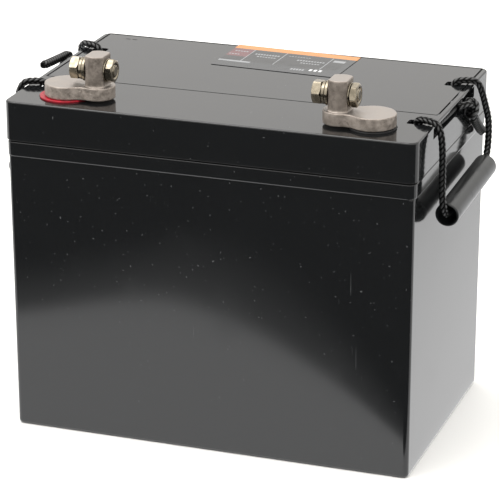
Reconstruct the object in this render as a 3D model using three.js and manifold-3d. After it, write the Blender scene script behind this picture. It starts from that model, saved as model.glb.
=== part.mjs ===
// Deep cycle battery of the 12 V absorbed-glass-mat kind, about 260 x 165 mm, with two lead-alloy flag
// terminals and a rope carrying handle at each end. Millimetres, +Z up, +X along the case towards the
// negative terminal, -Y the front. The origin is the middle of the underside.
import * as THREE from "three";
import { mergeVertices } from "three/addons/utils/BufferGeometryUtils.js";
import Module from "manifold-3d";

const wasm = await Module();
wasm.setup();

// ---- driving dimensions ----
// Case: the lid stands a little proud of the container on every side.
const LID_HALF_X = 130;
const LID_HALF_Y = 82.5;
const LID_TOP = 213;
const LID_BOTTOM = 188.3;
const LID_CORNER = 5.5;
const LID_EDGE = 1;
const COLLAR_TOP = 187.6;
const COLLAR_BOTTOM = 178;
const COLLAR_INSET = 0.6;
const BODY_INSET = 1.4;
const BODY_CORNER = 3.2;
const BODY_EDGE = 2.2;
const BODY_DRAFT = 0.65; // how much further in each face stands at the floor than at the collar
const TONGUE_TOP = 191.2;
const TONGUE_WALL = 2.5;
const GROOVE_TOP = 191.6;
const FIT_GAP = 0.4;

// Cells: six in a row along X, with solid partitions between them.
const CELL_COUNT = 6;
const CELL_WIDTH = 39.8;
const PARTITION = 2.2;
const CELL_PITCH = CELL_WIDTH + PARTITION;
const CELL_HALF_Y = 77.4;
const CELL_FLOOR = 4;
const POCKET_TOP = 197;

// Plate groups of one cell.
const POSITIVE_PLATES = 4;
const POSITIVE_THICK = 3.5;
const NEGATIVE_THICK = 2.3;
const SEPARATOR_THICK = 1.06;
const PLATE_GAP = 0.3;
const PLATE_HALF_Y = 73.5;
const PLATE_BOTTOM = 7;
const PLATE_TOP = 163;
const LUG_HALF_Y = 6;
const STRAP_Y = 60;
const STRAP_HALF_Y = 9;
const STRAP_BOTTOM = 171;
const STRAP_TOP = 180;
const STRAP_HALF_X = 18.9;
const CONNECTOR_RADIUS = 3.4;
const CONNECTOR_Z = 175.5;

// Cover plate over the valve gallery, set flush into the lid.
const COVER_HALF_X = 126.2;
const COVER_FRONT = -24;
const COVER_BACK = 80;
const COVER_THICK = 2.2;
const COVER_GROOVE = 0.5;
const GALLERY_HALF_X = 108;
const GALLERY_FRONT = -14;
const GALLERY_BACK = 75;
const GALLERY_FLOOR = 202;
const VALVE_Y = 28;
const VALVE_PITCH = 39;
const NECK_RADIUS = 5.5;
const NECK_BORE = 3.2;
const NECK_TOP = 207.2;
const VENT_SLIT_X = [-110, -105.5];
const VENT_SLIT_Y = 71.8;

// Flag terminals: a two-lobed foot with an upright post, clamped by a bolt along X.
const FOOT_X = 96.8;
const TERMINAL_Y = -60;
const FOOT_RADIUS = 14;
const TOE_RADIUS = 10.5;
const TOE_REACH = 20;
const WAIST_RADIUS = 10;
const FOOT_BOTTOM = 1.3; // heights of the terminal are above the lid's top
const FOOT_TOP = 9.2;
const POST_RADIUS = 8.5;
const POST_HALF_X = 6;
const POST_TOP = 28.3;
const BOLT_HEIGHT = 18.7;
const BOLT_RADIUS = 4;
const BOLT_HOLE = 4.4;
const HEX_FLATS = 13;
const PILLAR_RADIUS = 7;
const SEALS = {
  positive: { radius: 15.6, bore: 9.3, shift: -1.6 },
  negative: { radius: 14.3, bore: 7.6, shift: 0 },
};
const SEAL_RECESS = 0.5;
const STACK_GAP = 0.15;

// Rope handles.
const ROPE_RADIUS = 2.25;
const ROPE_HOLE_X = [113, 122.6];
const ROPE_HOLE_Y = [37.6, 46.2];
const SLOT_INNER_X = 112.5;
const SLOT_HALF_Y = 46.5;
const SLOT_BOTTOM = 204.9;
const SLOT_TOP = 211.4;
const GRIP_RADIUS = 7.25;
const GRIP_BORE = 5.8;
const GRIP_LENGTH = 90;
const GRIP_CENTRE = [138.5, 1.5, 159.4];
const GRIP_TILT = THREE.MathUtils.degToRad(2);

// ---- finishes ----
const finish = (color, roughness, metalness = 0) =>
  new THREE.MeshStandardMaterial({ color, roughness, metalness });
const caseBlack = finish("#26282a", 0.25);
const valveRubber = finish("#1b1b1c", 0.8);
const sealRed = finish("#c0172b", 0.5);
const sealBlack = finish("#151515", 0.6);
const castLead = finish("#a79f98", 0.5, 1);
const zincSteel = finish("#c3bba8", 0.3, 1);
const plateBrown = finish("#5a3a2c", 0.9);
const plateGrey = finish("#77797c", 0.85);
const glassMat = finish("#e8e8e2", 0.95);
const ropeBlack = finish("#141516", 0.9);
const gripBlack = finish("#2a2c2e", 0.4);
const labelGrey = finish("#55585b", 0.5);

// ---- solids ----
function toSolid(geometry) {
  const plain = geometry.index ? geometry.toNonIndexed() : geometry.clone();
  plain.deleteAttribute("normal");
  plain.deleteAttribute("uv");
  const merged = mergeVertices(plain, 1e-4);
  const mesh = new wasm.Mesh({
    numProp: 3,
    vertProperties: merged.attributes.position.array,
    triVerts: new Uint32Array(merged.index.array),
  });
  return new wasm.Manifold(mesh);
}

function toGeometry(solid) {
  const mesh = solid.getMesh();
  const geometry = new THREE.BufferGeometry();
  geometry.setAttribute("position", new THREE.BufferAttribute(mesh.vertProperties, 3));
  geometry.setIndex(new THREE.BufferAttribute(mesh.triVerts, 1));
  geometry.computeVertexNormals();
  return geometry;
}

const join = (...parts) => toGeometry(parts.map(toSolid).reduce((a, b) => a.add(b)));
const cut = (base, ...tools) =>
  toGeometry(tools.map(toSolid).reduce((a, b) => a.subtract(b), toSolid(base)));

function box([x0, x1], [y0, y1], [z0, z1]) {
  const geometry = new THREE.BoxGeometry(x1 - x0, y1 - y0, z1 - z0);
  return geometry.translate((x0 + x1) / 2, (y0 + y1) / 2, (z0 + z1) / 2);
}

// A rounded rectangle between two heights, with an optional rounded edge at both ends.
function block(halfX, halfY, corner, z0, z1, edge = 0) {
  const x = halfX - edge;
  const y = halfY - edge;
  const r = corner - edge;
  const shape = new THREE.Shape();
  shape.absarc(x - r, y - r, r, 0, Math.PI / 2, false);
  shape.absarc(-x + r, y - r, r, Math.PI / 2, Math.PI, false);
  shape.absarc(-x + r, -y + r, r, Math.PI, 1.5 * Math.PI, false);
  shape.absarc(x - r, -y + r, r, 1.5 * Math.PI, 2 * Math.PI, false);
  const geometry = new THREE.ExtrudeGeometry(shape, {
    depth: z1 - z0 - 2 * edge,
    curveSegments: 4,
    bevelEnabled: edge > 0,
    bevelThickness: edge,
    bevelSize: edge,
    bevelSegments: 2,
  });
  return geometry.translate(0, 0, z0 + edge);
}

// Leans the faces of an upright block inwards towards the floor, by the draft at z = 0.
function withDraft(geometry, halfX, halfY, draft, height) {
  const at = geometry.attributes.position;
  for (let i = 0; i < at.count; i += 1) {
    const lean = draft * (1 - Math.min(at.getZ(i), height) / height);
    at.setX(i, at.getX(i) * (1 - lean / halfX));
    at.setY(i, at.getY(i) * (1 - lean / halfY));
  }
  return geometry;
}

const discZ = (radius, z0, z1, x = 0, y = 0, sides = 24) =>
  new THREE.CylinderGeometry(radius, radius, z1 - z0, sides)
    .rotateX(Math.PI / 2)
    .translate(x, y, (z0 + z1) / 2);

const discX = (radius, x0, x1, sides = 20) =>
  new THREE.CylinderGeometry(radius, radius, x1 - x0, sides)
    .rotateZ(Math.PI / 2)
    .translate((x0 + x1) / 2, 0, 0);

// A ring about the X axis, turned from its rectangular section.
function ringX(inner, outer, x0, x1, sides = 20) {
  const section = [
    [inner, x0],
    [outer, x0],
    [outer, x1],
    [inner, x1],
    [inner, x0],
  ];
  const points = section.map(([r, h]) => new THREE.Vector2(r, h));
  return new THREE.LatheGeometry(points, sides).rotateZ(-Math.PI / 2);
}

function hexX(x0, x1) {
  const corner = HEX_FLATS / Math.sqrt(3);
  return discX(corner, x0, x1, 6);
}

// A round tube of rope along a smooth curve through the points.
function rope(points, steps) {
  const curve = new THREE.CatmullRomCurve3(points.map((p) => new THREE.Vector3(...p)));
  const section = new THREE.Shape();
  section.absarc(0, 0, ROPE_RADIUS, 0, 2 * Math.PI, false);
  return new THREE.ExtrudeGeometry(section, { steps, curveSegments: 4, extrudePath: curve });
}

const battery = new THREE.Group();

function add(parent, name, geometry, material) {
  const mesh = new THREE.Mesh(geometry, material);
  mesh.name = name;
  parent.add(mesh);
  return mesh;
}

// ---- container ----
const cellX = (cell) => (cell - (CELL_COUNT - 1) / 2) * CELL_PITCH;
const partitionX = (wall) => (wall - CELL_COUNT / 2) * CELL_PITCH;
const cellSpan = (cell) => [cellX(cell) - CELL_WIDTH / 2, cellX(cell) + CELL_WIDTH / 2];
// Cells alternate, so that each cell's negative strap lies beside the next cell's positive strap.
const positiveSide = (cell) => (cell % 2 === 0 ? -1 : 1);

function containerShell() {
  const bodyX = LID_HALF_X - BODY_INSET;
  const bodyY = LID_HALF_Y - BODY_INSET;
  const body = block(bodyX, bodyY, BODY_CORNER, 0, COLLAR_BOTTOM + 2 * BODY_EDGE, BODY_EDGE);
  const collarX = LID_HALF_X - COLLAR_INSET;
  const collarY = LID_HALF_Y - COLLAR_INSET;
  const collar = block(collarX, collarY, LID_CORNER - COLLAR_INSET, COLLAR_BOTTOM, COLLAR_TOP, 0.5);
  const cellsHalfX = (CELL_COUNT * CELL_PITCH - PARTITION) / 2;
  const tongueX = cellsHalfX + TONGUE_WALL;
  const tongueY = CELL_HALF_Y + TONGUE_WALL;
  const tongue = block(tongueX, tongueY, 2, COLLAR_BOTTOM, TONGUE_TOP);
  return join(withDraft(body, bodyX, bodyY, BODY_DRAFT, COLLAR_BOTTOM), collar, tongue);
}

const cellRooms = Array.from({ length: CELL_COUNT }, (_, cell) =>
  box(cellSpan(cell), [-CELL_HALF_Y, CELL_HALF_Y], [CELL_FLOOR, TONGUE_TOP + 1]),
);
const connectorHoles = Array.from({ length: CELL_COUNT - 1 }, (_, i) =>
  discX(CONNECTOR_RADIUS + FIT_GAP, -PARTITION, PARTITION, 12).translate(
    partitionX(i + 1),
    -positiveSide(i) * STRAP_Y,
    CONNECTOR_Z,
  ),
);
add(battery, "case_container", cut(containerShell(), ...cellRooms, ...connectorHoles), caseBlack);

// ---- lid ----
const coverRebate = () =>
  box(
    [-COVER_HALF_X - COVER_GROOVE, COVER_HALF_X + COVER_GROOVE],
    [COVER_FRONT - COVER_GROOVE, COVER_BACK + COVER_GROOVE],
    [LID_TOP - COVER_THICK - FIT_GAP, LID_TOP + 1],
  );
const ropeHoles = (z0, z1, ends) =>
  [-1, 1].flatMap((side) =>
    ends.map((end) =>
      box(
        ROPE_HOLE_X.map((x) => side * x).sort((a, b) => a - b),
        ROPE_HOLE_Y.map((y) => end * y).sort((a, b) => a - b),
        [z0, z1],
      ),
    ),
  );
const endSlots = [-1, 1].map((side) =>
  box(
    [side * SLOT_INNER_X, side * (LID_HALF_X + 1)].sort((a, b) => a - b),
    [-SLOT_HALF_Y, SLOT_HALF_Y],
    [SLOT_BOTTOM, SLOT_TOP],
  ),
);
const cellPockets = Array.from({ length: CELL_COUNT }, (_, cell) =>
  box(cellSpan(cell), [-CELL_HALF_Y, CELL_HALF_Y], [GROOVE_TOP - 1, POCKET_TOP]),
);
// The end valves stand a little inboard of their cells' middles, clear of the rope slots.
const valveX = (cell) => (cell - (CELL_COUNT - 1) / 2) * VALVE_PITCH;
const valveNecks = Array.from({ length: CELL_COUNT }, (_, cell) =>
  discZ(NECK_RADIUS, GALLERY_FLOOR - 1, NECK_TOP, valveX(cell), VALVE_Y, 12),
);
const valveBores = Array.from({ length: CELL_COUNT }, (_, cell) =>
  discZ(NECK_BORE, POCKET_TOP - 1, NECK_TOP + 1, valveX(cell), VALVE_Y, 12),
);
const sealRecess = (seal, x) =>
  discZ(seal.radius + FIT_GAP, LID_TOP - SEAL_RECESS, LID_TOP + 1, x + seal.shift, TERMINAL_Y, 28);
const pillarHole = (x) => discZ(PILLAR_RADIUS + FIT_GAP, POCKET_TOP - 1, LID_TOP + 1, x, TERMINAL_Y);
const terminalHoles = [
  pillarHole(-FOOT_X),
  pillarHole(FOOT_X),
  sealRecess(SEALS.positive, -FOOT_X),
  sealRecess(SEALS.negative, FOOT_X),
];
const lidBlank = cut(
  block(LID_HALF_X, LID_HALF_Y, LID_CORNER, LID_BOTTOM, LID_TOP, LID_EDGE),
  block(LID_HALF_X - 2.2, LID_HALF_Y - 2.2, 3.3, LID_BOTTOM - 1, GROOVE_TOP),
  box([-GALLERY_HALF_X, GALLERY_HALF_X], [GALLERY_FRONT, GALLERY_BACK], [GALLERY_FLOOR, LID_TOP]),
);
const lid = cut(
  join(lidBlank, ...valveNecks),
  coverRebate(),
  ...cellPockets,
  ...valveBores,
  ...terminalHoles,
  ...endSlots,
  ...ropeHoles(SLOT_TOP - 2, LID_TOP + 1, [-1, 1]),
);
add(battery, "lid", lid, caseBlack);

const ventSlits = VENT_SLIT_X.map((x) =>
  box([x - 1.6, x + 1.6], [VENT_SLIT_Y - 0.5, VENT_SLIT_Y + 0.5], [LID_TOP - 3, LID_TOP + 1]),
);
const coverPlate = cut(
  box([-COVER_HALF_X, COVER_HALF_X], [COVER_FRONT, COVER_BACK], [LID_TOP - COVER_THICK, LID_TOP]),
  ...ropeHoles(LID_TOP - 3, LID_TOP + 1, [1]),
  ...ventSlits,
);
add(battery, "vent_cover_plate", coverPlate, caseBlack);
add(battery, "top_label", box([-37.5, 46], [31, 79.4], [LID_TOP + 0.08, LID_TOP + 0.3]), labelGrey);

// ---- one-way valve caps, each a rubber cup over its neck ----
function valveCap() {
  const inner = NECK_RADIUS + 0.3;
  const outer = NECK_RADIUS + 2;
  const top = NECK_TOP - GALLERY_FLOOR + 2;
  const profile = [
    [0, top - 1.7],
    [inner, top - 1.7],
    [inner, 0.5],
    [outer, 0.5],
    [outer, top - 0.6],
    [outer - 0.6, top],
    [0, top],
  ];
  const points = profile.map(([r, h]) => new THREE.Vector2(r, h));
  return new THREE.LatheGeometry(points, 12).rotateX(Math.PI / 2);
}
for (let cell = 0; cell < CELL_COUNT; cell += 1) {
  const cap = add(battery, `valve_cap_${cell + 1}`, valveCap(), valveRubber);
  cap.position.set(valveX(cell), VALVE_Y, GALLERY_FLOOR);
}

// ---- plate groups: negative plates outside and between the positive ones, mat between all ----
const LAYER = SEPARATOR_THICK + 2 * PLATE_GAP;
const PLATE_STEP = POSITIVE_THICK + NEGATIVE_THICK + 2 * LAYER;
const positiveX = (i) => (i - (POSITIVE_PLATES - 1) / 2) * PLATE_STEP;
const negativeX = (i) => (i - POSITIVE_PLATES / 2) * PLATE_STEP;

function plateGroup(count, plateX, thickness, side) {
  const strapY = [side * STRAP_Y - STRAP_HALF_Y, side * STRAP_Y + STRAP_HALF_Y];
  const lugY = [side * STRAP_Y - LUG_HALF_Y, side * STRAP_Y + LUG_HALF_Y];
  const pieces = [box([-STRAP_HALF_X, STRAP_HALF_X], strapY, [STRAP_BOTTOM, STRAP_TOP])];
  for (let i = 0; i < count; i += 1) {
    const span = [plateX(i) - thickness / 2, plateX(i) + thickness / 2];
    pieces.push(box(span, [-PLATE_HALF_Y, PLATE_HALF_Y], [PLATE_BOTTOM, PLATE_TOP]));
    pieces.push(box(span, lugY, [PLATE_TOP - 1, STRAP_BOTTOM + 1]));
  }
  return join(...pieces);
}

// Positive plates are thicker, so the sheets stand in pairs a little further apart.
const skew = (i) => ((i % 2 === 0 ? -1 : 1) * (POSITIVE_THICK - NEGATIVE_THICK)) / 4;

// One sheet of mat, folded to and fro round the ends of the plates.
function separatorMat() {
  const sheets = 2 * POSITIVE_PLATES;
  const sheetX = (i) => (i - (sheets - 1) / 2) * (PLATE_STEP / 2) + skew(i);
  const half = SEPARATOR_THICK / 2;
  const foldY = PLATE_HALF_Y + PLATE_GAP;
  const pieces = [];
  for (let i = 0; i < sheets; i += 1) {
    const x = sheetX(i);
    pieces.push(box([x - half, x + half], [-foldY, foldY], [PLATE_BOTTOM - 2, PLATE_TOP + 3]));
    if (i < sheets - 1) {
      const fold = [foldY - 0.2, foldY + SEPARATOR_THICK];
      const y = i % 2 === 0 ? fold : fold.map((v) => -v).reverse();
      pieces.push(box([x - half, sheetX(i + 1) + half], y, [PLATE_BOTTOM - 2, PLATE_TOP + 3]));
    }
  }
  return join(...pieces);
}

for (let cell = 0; cell < CELL_COUNT; cell += 1) {
  const unit = new THREE.Group();
  unit.position.x = cellX(cell);
  battery.add(unit);
  const side = positiveSide(cell);
  const number = cell + 1;
  const positives = plateGroup(POSITIVE_PLATES, positiveX, POSITIVE_THICK, side);
  const negatives = plateGroup(POSITIVE_PLATES + 1, negativeX, NEGATIVE_THICK, -side);
  add(unit, `positive_plate_group_${number}`, positives, plateBrown);
  add(unit, `negative_plate_group_${number}`, negatives, plateGrey);
  add(unit, `separator_mat_${number}`, separatorMat(), glassMat);
}

for (let wall = 1; wall < CELL_COUNT; wall += 1) {
  const half = CELL_PITCH / 2 - STRAP_HALF_X - 0.3;
  const bar = discX(CONNECTOR_RADIUS, -half, half, 12);
  const weld = add(battery, `intercell_connector_${wall}`, bar, castLead);
  weld.position.set(partitionX(wall), -positiveSide(wall - 1) * STRAP_Y, CONNECTOR_Z);
}

// ---- terminals ----
// Foot outline: the big lobe at the origin, the toe along +X, and a slight waist on either side.
function footShape() {
  const toHeel = FOOT_RADIUS + WAIST_RADIUS;
  const toToe = TOE_RADIUS + WAIST_RADIUS;
  const waistX = (toHeel ** 2 - toToe ** 2 + TOE_REACH ** 2) / (2 * TOE_REACH);
  const waistY = Math.sqrt(toHeel ** 2 - waistX ** 2);
  const heel = Math.atan2(waistY, waistX);
  const toe = Math.atan2(waistY, waistX - TOE_REACH);
  const shape = new THREE.Shape();
  shape.absarc(0, 0, FOOT_RADIUS, heel, 2 * Math.PI - heel, false);
  shape.absarc(waistX, -waistY, WAIST_RADIUS, Math.PI - heel, Math.PI - toe, true);
  shape.absarc(TOE_REACH, 0, TOE_RADIUS, -toe, toe, false);
  shape.absarc(waistX, waistY, WAIST_RADIUS, toe - Math.PI, heel - Math.PI, true);
  return shape;
}

// Post outline: a round bar with two flats that face along X.
function postShape() {
  const flat = Math.acos(POST_HALF_X / POST_RADIUS);
  const shape = new THREE.Shape();
  shape.absarc(0, 0, POST_RADIUS, flat, Math.PI - flat, false);
  shape.absarc(0, 0, POST_RADIUS, Math.PI + flat, 2 * Math.PI - flat, false);
  return shape;
}

function upright(shape, z0, z1, edge, curveSegments) {
  const options = { depth: z1 - z0 - 2 * edge, curveSegments, bevelSegments: 1 };
  Object.assign(options, { bevelThickness: edge, bevelSize: edge, bevelOffset: -edge });
  return new THREE.ExtrudeGeometry(shape, options).translate(0, 0, z0 + edge);
}

function terminal() {
  const foot = upright(footShape(), FOOT_BOTTOM, FOOT_TOP, 0.5, 7);
  const post = upright(postShape(), FOOT_BOTTOM + 1, POST_TOP, 0.7, 5);
  const hole = discX(BOLT_HOLE, -FOOT_RADIUS, FOOT_RADIUS, 16);
  hole.translate(TOE_REACH, 0, BOLT_HEIGHT);
  return cut(join(foot, post.translate(TOE_REACH, 0, 0)), hole);
}

// Fasteners, outwards from the post. The head side points to -X and the nut side to +X.
const HEAD_WASHER = 1.8;
const SPRING_WASHER = 2.2;
const HEAD_THICK = 5.8;
const NUT_WASHER = 0.8;
const NUT_THICK = 4.4;
const flatWasherStart = -POST_HALF_X - STACK_GAP - HEAD_WASHER;
const springStart = flatWasherStart - STACK_GAP - SPRING_WASHER;
const headFace = springStart - STACK_GAP;
const nutWasherEnd = POST_HALF_X + STACK_GAP + NUT_WASHER;
const nutStart = nutWasherEnd + STACK_GAP;
const nutEnd = nutStart + NUT_THICK;
const boltEnd = nutEnd + 0.4;

const shank = (radius, x0, x1) => discX(radius, x0, x1, 16);
const bolt = () => join(hexX(headFace - HEAD_THICK, headFace), shank(BOLT_RADIUS, headFace - 1, boltEnd));
const nut = () => cut(hexX(nutStart, nutEnd), shank(BOLT_RADIUS + 0.3, nutStart - 1, nutEnd + 1));
const flatWasher = (x0, thick, radius) => ringX(BOLT_RADIUS + 0.3, radius, x0, x0 + thick);
const springWasher = () =>
  cut(
    ringX(BOLT_RADIUS + 0.3, 6.9, springStart, springStart + SPRING_WASHER),
    box([springStart - 1, springStart + SPRING_WASHER + 1], [-0.5, 0.5], [2, 9]),
  );

const sealRing = ({ radius, bore, shift }) => {
  const section = [
    [bore, -0.2],
    [radius, -0.2],
    [radius, 1],
    [bore, 1],
    [bore, -0.2],
  ];
  const points = section.map(([r, h]) => new THREE.Vector2(r, h));
  return new THREE.LatheGeometry(points, 28).rotateX(Math.PI / 2).translate(shift, 0, 0);
};

for (const [pole, side, sealColour] of [
  ["positive", -1, sealRed],
  ["negative", 1, sealBlack],
]) {
  const seat = new THREE.Group();
  seat.position.set(side * FOOT_X, TERMINAL_Y, LID_TOP);
  battery.add(seat);
  const casting = add(seat, `${pole}_terminal`, terminal(), castLead);
  casting.rotation.z = side > 0 ? Math.PI : 0;
  add(seat, `${pole}_seal_ring`, sealRing(SEALS[pole]), sealColour);
  const pillar = discZ(PILLAR_RADIUS, STRAP_TOP + 0.3 - LID_TOP, FOOT_BOTTOM - 0.3);
  add(seat, `${pole}_pillar`, pillar, castLead);

  const fastening = new THREE.Group();
  fastening.position.set(side * (FOOT_X - TOE_REACH), TERMINAL_Y, LID_TOP + BOLT_HEIGHT);
  battery.add(fastening);
  add(fastening, `${pole}_bolt`, bolt(), zincSteel);
  add(fastening, `${pole}_spring_washer`, springWasher(), zincSteel);
  add(fastening, `${pole}_flat_washer`, flatWasher(flatWasherStart, HEAD_WASHER, 7.6), zincSteel);
  add(fastening, `${pole}_nut_washer`, flatWasher(POST_HALF_X + STACK_GAP, NUT_WASHER, 7.2), zincSteel);
  add(fastening, `${pole}_nut`, nut(), zincSteel);
}

// ---- rope handles ----
// The run that stays put: over the lid's edge, down a hole, along the end slot and back up.
const FIXED_RUN = [
  [130.6, -46.4, 215.7],
  [126.5, -45, 216.1],
  [121.6, -43.2, 215.4],
  [118.1, -41.8, 212],
  [118.6, -39.6, 208.6],
  [122, -35, 207.5],
  [125.6, -27, 207.5],
  [126.4, -10, 207.5],
  [126.4, 10, 207.5],
  [125.6, 27, 207.5],
  [122, 35, 207.5],
  [118.6, 39.6, 208.6],
  [118.1, 41.8, 212],
  [121.6, 43.8, 215.4],
  [126.5, 46.6, 216.1],
  [130.6, 49, 215.7],
];
// The hanging loop: down one leg, through the grip and up the other leg.
const HANGING_LOOP = [
  [136.3, -47.6, 206.5],
  [136.5, -48.4, 198],
  [136.6, -48.8, 188],
  [136.7, -48.8, 177],
  [137, -48.6, 169.5],
  [137.5, -47.2, 163.6],
  [138, -43.6, 158.8],
  [138.3, -39, 157.9],
  [138.5, -30, 158.2],
  [138.5, 0, 159.7],
  [138.5, 33, 161.3],
  [138.3, 42, 162],
  [138.1, 47.2, 163.7],
  [137.9, 52, 167.2],
  [137.6, 55.6, 172.6],
  [137.4, 57.2, 180],
  [137, 56.6, 189],
  [135.7, 53.4, 198.5],
  [134.6, 50.2, 205.6],
];
// Each knot hangs outside the slot, with a short cut tail: down beside the leg on the right, and
// forward along the lid's edge on the left.
const KNOT_CENTRE = [134.6, 24, 203.6];
const RIGHT_TAIL = [
  [134.4, 29, 199.4],
  [133.7, 37, 192.8],
  [133.4, 44.5, 187.6],
  [133.4, 52, 182.6],
];
const LEFT_TAIL = [
  [135.2, 28, 205],
  [136.6, 29.5, 209.2],
  [137, 24, 211.3],
  [136.8, 13, 212.1],
  [136.8, 2, 213],
  [136.9, -6, 213.8],
];

function knot(tail) {
  const ball = new THREE.SphereGeometry(1, 12, 8).scale(4, 7.2, 6.2);
  ball.translate(...KNOT_CENTRE);
  return join(ball, rope(tail, 10));
}

function grip() {
  const half = GRIP_LENGTH / 2;
  const section = [
    [GRIP_BORE, -half],
    [GRIP_RADIUS, -half],
    [GRIP_RADIUS, half],
    [GRIP_BORE, half],
    [GRIP_BORE, -half],
  ];
  const points = section.map(([r, h]) => new THREE.Vector2(r, h));
  return new THREE.LatheGeometry(points, 24);
}

for (const [end, side, tail] of [
  ["right", 1, RIGHT_TAIL],
  ["left", -1, LEFT_TAIL],
]) {
  const mirrored = new THREE.Group();
  mirrored.scale.x = side;
  battery.add(mirrored);
  const tube = add(mirrored, `${end}_handle_grip`, grip(), gripBlack);
  tube.position.set(...GRIP_CENTRE);
  tube.rotation.x = GRIP_TILT;
  add(mirrored, `${end}_rope_loop`, rope(HANGING_LOOP, 46), ropeBlack);
  add(mirrored, `${end}_rope_fixed_run`, rope(FIXED_RUN, 42), ropeBlack);
  add(mirrored, `${end}_rope_knot`, knot(tail), ropeBlack);
}

export default battery;
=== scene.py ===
import math

import bmesh
import bpy
import numpy as np
from mathutils import Matrix, Vector, noise


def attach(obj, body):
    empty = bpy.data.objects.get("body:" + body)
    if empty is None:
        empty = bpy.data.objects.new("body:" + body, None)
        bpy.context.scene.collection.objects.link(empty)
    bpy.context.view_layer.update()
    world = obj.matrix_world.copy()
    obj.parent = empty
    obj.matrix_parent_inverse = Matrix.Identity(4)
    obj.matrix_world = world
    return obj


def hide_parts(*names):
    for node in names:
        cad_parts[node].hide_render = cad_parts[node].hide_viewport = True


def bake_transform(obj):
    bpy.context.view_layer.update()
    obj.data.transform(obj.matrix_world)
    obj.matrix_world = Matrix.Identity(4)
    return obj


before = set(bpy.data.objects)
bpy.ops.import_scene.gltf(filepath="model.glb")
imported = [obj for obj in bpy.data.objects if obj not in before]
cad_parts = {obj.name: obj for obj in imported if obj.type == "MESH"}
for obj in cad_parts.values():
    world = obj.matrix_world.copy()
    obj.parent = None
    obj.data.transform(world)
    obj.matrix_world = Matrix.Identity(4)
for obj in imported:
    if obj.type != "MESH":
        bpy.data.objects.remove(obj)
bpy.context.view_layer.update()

# Sealed deep cycle battery with rope handles. Pieces are made in millimetres, in the part's own frame,
# and scaled to metres once, when they are finished.
MM = 0.001
scene = bpy.context.scene

# ---- sizes, in millimetres ----
LID_HALF_X, LID_HALF_Y = 130.0, 82.5
LID_TOP, LID_BOTTOM = 213.0, 188.3
COLLAR_BOTTOM, COLLAR_TOP = 178.0, 187.6
COVER_HALF_X, COVER_FRONT, COVER_BACK, COVER_THICK = 126.2, -24.0, 80.0, 2.2
ROPE_HOLE_X, ROPE_HOLE_Y = (113.0, 122.6), (37.6, 46.2)
FOOT_X, TERMINAL_Y, TOE_REACH = 96.8, -60.0, 20.0
BOLT_Z = LID_TOP + 18.7
SEALS = {-1: (15.6, 9.3, -1.6), 1: (14.3, 7.6, 0.0)}  # radius, bore and shift along X, by side
CELL_PITCH, CELL_HALF_X, CELL_HALF_Y = 42.0, 19.9, 77.4
SEAM_RELIEF, VALVE_PITCH, VALVE_Y = 0.2, 39.0, 28.0
HEX_FLATS, SCREW_PITCH = 13.0, 1.25
ROPE_DIAMETER = 4.5
GRIP_CENTRE, GRIP_LENGTH, GRIP_TILT = (138.5, 1.5, 159.4), 90.0, math.radians(2)


# ---- small helpers ----
def linear(hex_colour):
    """An sRGB hex colour as linear red, green, blue and one."""
    parts = [int(hex_colour[i : i + 2], 16) / 255 for i in (1, 3, 5)]
    return [p / 12.92 if p <= 0.04045 else ((p + 0.055) / 1.055) ** 2.4 for p in parts] + [1.0]


def per(size_mm):
    """How many times a pattern of that size fits in a metre."""
    return 1000.0 / size_mm


def add_node(tree, kind, settings=None, inputs=None):
    """Adds a node; an input is a value, or another node's output to link."""
    node = tree.nodes.new(kind)
    for name, value in (settings or {}).items():
        setattr(node, name, value)
    for key, value in (inputs or {}).items():
        if isinstance(value, bpy.types.NodeSocket):
            tree.links.new(value, node.inputs[key])
        else:
            node.inputs[key].default_value = value
    return node


def new_material(name):
    material = bpy.data.materials.new(name)
    material.use_nodes = True
    material.node_tree.nodes.clear()
    return material, material.node_tree


def close_material(tree, inputs, bump_height=None, bump_mm=0.05):
    """Ends a material with its shader, and a bump of that real height."""
    if bump_height is not None:
        relief = {"Height": bump_height, "Distance": bump_mm * MM, "Strength": 1.0}
        bump = add_node(tree, "ShaderNodeBump", {}, relief)
        inputs = {**inputs, "Normal": bump.outputs["Normal"]}
    shader = add_node(tree, "ShaderNodeBsdfPrincipled", {}, inputs)
    add_node(tree, "ShaderNodeOutputMaterial", {}, {"Surface": shader.outputs["BSDF"]})


def pattern(tree, size_mm, detail=2.0, rough=0.5, stretch=(1.0, 1.0, 1.0), seed=0.0):
    """Noise about 0.5 in object space. A stretch above 1 draws the pattern out along that axis."""
    place = add_node(tree, "ShaderNodeTexCoord").outputs["Object"]
    scale = [1.0 / s for s in stretch]
    shift = (seed, seed * 0.7, seed * 1.3)
    moved = add_node(tree, "ShaderNodeMapping", {}, {"Vector": place, "Scale": scale, "Location": shift})
    made = add_node(
        tree,
        "ShaderNodeTexNoise",
        {},
        {"Vector": moved.outputs["Vector"], "Scale": per(size_mm), "Detail": detail, "Roughness": rough},
    )
    return made.outputs["Fac"]


def ramp(tree, value, low, high, to_low=0.0, to_high=1.0):
    """Value from low to high becomes to_low to to_high, eased and held at the ends."""
    made = add_node(
        tree,
        "ShaderNodeMapRange",
        {"interpolation_type": "SMOOTHSTEP"},
        {"Value": value, "From Min": low, "From Max": high, "To Min": to_low, "To Max": to_high},
    )
    return made.outputs["Result"]


def combine(tree, a, b, how="MULTIPLY"):
    """One sum on two values or outputs: their product, unless told otherwise."""
    return add_node(tree, "ShaderNodeMath", {"operation": how}, {0: a, 1: b}).outputs[0]


def blend_colours(tree, share, first, second):
    """Two colours mixed by share; each is a hex colour or another node's output."""
    ends = [linear(c) if isinstance(c, str) else c for c in (first, second)]
    made = add_node(tree, "ShaderNodeMix", {"data_type": "RGBA"}, {0: share, 6: ends[0], 7: ends[1]})
    return made.outputs[2]


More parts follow.
